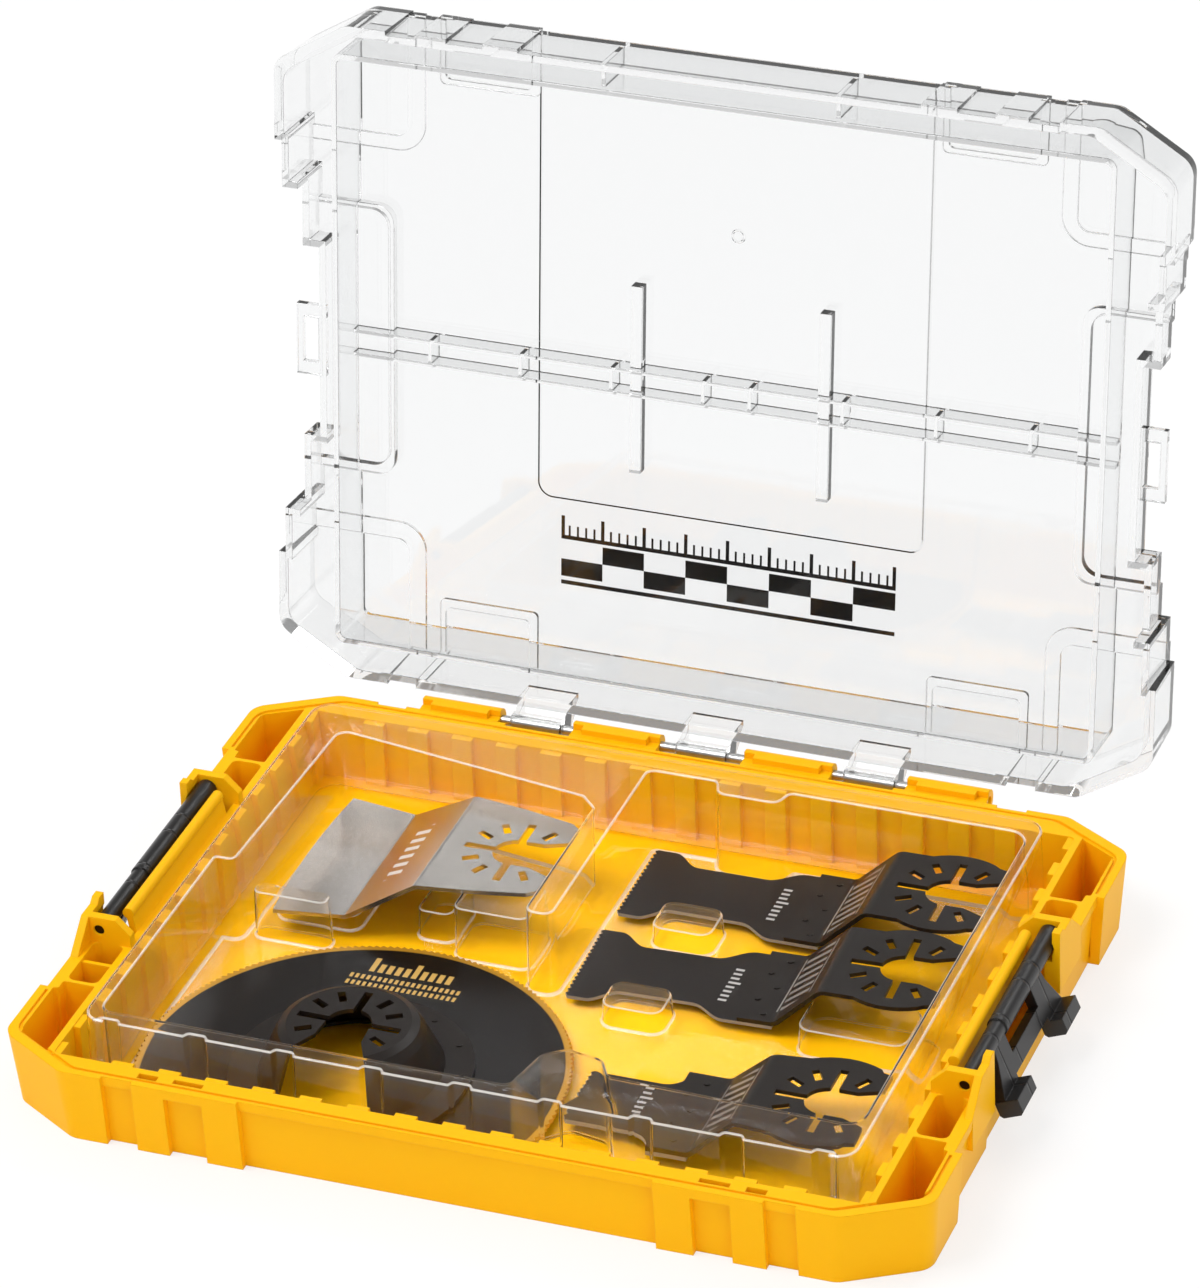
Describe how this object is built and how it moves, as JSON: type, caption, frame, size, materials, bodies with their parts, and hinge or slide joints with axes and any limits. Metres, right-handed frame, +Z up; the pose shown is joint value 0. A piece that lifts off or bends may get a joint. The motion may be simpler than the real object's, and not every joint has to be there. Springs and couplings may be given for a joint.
{
  "type": "saw blade storage case",
  "caption": "Flat yellow case with a clear hinged lid, side latches and a clear moulded insert holding oscillating-tool blades.",
  "frame": {"origin": "centre of the base's flat underside", "axes": "+X right along the hinge, +Y towards the hinge, +Z up"},
  "size_m": [0.263, 0.2441, 0.2144],
  "materials": {
    "yellow_plastic": "smooth moulded, slightly glossy",
    "clear_lid": "clear polished polycarbonate",
    "clear_insert": "clear thermoformed sheet",
    "black_plastic": "satin black moulded",
    "pin_steel": "drawn wire",
    "dark_steel": "blackened wire",
    "bare_steel": "brushed",
    "black_steel": "black coated, satin",
    "rivet_steel": "black coated, satin"
  },
  "bodies": {
    "base": {"base_tray": "yellow_plastic", "hinge_pin": "pin_steel", "latch_pin_left": "dark_steel", "latch_pin_right": "dark_steel"},
    "lid": {"lid": "clear_lid"},
    "latch_left": {"latch_left": "black_plastic"},
    "latch_right": {"latch_right": "black_plastic"},
    "insert": {"insert_tray": "clear_insert"},
    "scraper": {"scraper_blade": "bare_steel"},
    "round_blade": {"round_blade_disc": "black_steel", "round_blade_hub": "black_steel", "round_blade_rivets": "rivet_steel"},
    "rear_blade": {"rear_blade_plate": "black_steel", "rear_blade_shank": "black_steel", "rear_blade_rivets": "rivet_steel"},
    "middle_blade": {"middle_blade_plate": "black_steel", "middle_blade_shank": "black_steel", "middle_blade_rivets": "rivet_steel"},
    "front_blade": {"front_blade_plate": "black_steel", "front_blade_shank": "black_steel", "front_blade_rivets": "rivet_steel"}
  },
  "joints": [
    {"name": "lid_hinge", "type": "hinge", "parent": "base", "child": "lid", "pos_m": [0, 0.1004, 0.0196], "axis": [-1, 0, 0], "range_deg": [-97.25, 0]},
    {"name": "latch_right_hinge", "type": "hinge", "parent": "base", "child": "latch_right", "pos_m": [0.12, 0, 0.0255], "axis": [0, 1, 0], "range_deg": [-158, 0]},
    {"name": "latch_left_hinge", "type": "hinge", "parent": "base", "child": "latch_left", "pos_m": [-0.12, 0, 0.0255], "axis": [0, -1, 0], "range_deg": [-158, 0]},
    {"name": "insert_lift", "type": "slide", "parent": "base", "child": "insert", "axis": [0, 0, 1], "range_m": [0, 0.04]},
    {"name": "scraper_lift", "type": "slide", "parent": "insert", "child": "scraper", "axis": [0, 0, 1], "range_m": [0, 0.045]},
    {"name": "round_blade_lift", "type": "slide", "parent": "insert", "child": "round_blade", "axis": [0, 0, 1], "range_m": [0, 0.045]},
    {"name": "rear_blade_lift", "type": "slide", "parent": "insert", "child": "rear_blade", "axis": [0, 0, 1], "range_m": [0, 0.045]},
    {"name": "middle_blade_lift", "type": "slide", "parent": "insert", "child": "middle_blade", "axis": [0, 0, 1], "range_m": [0, 0.045]},
    {"name": "front_blade_lift", "type": "slide", "parent": "insert", "child": "front_blade", "axis": [0, 0, 1], "range_m": [0, 0.045]}
  ]
}
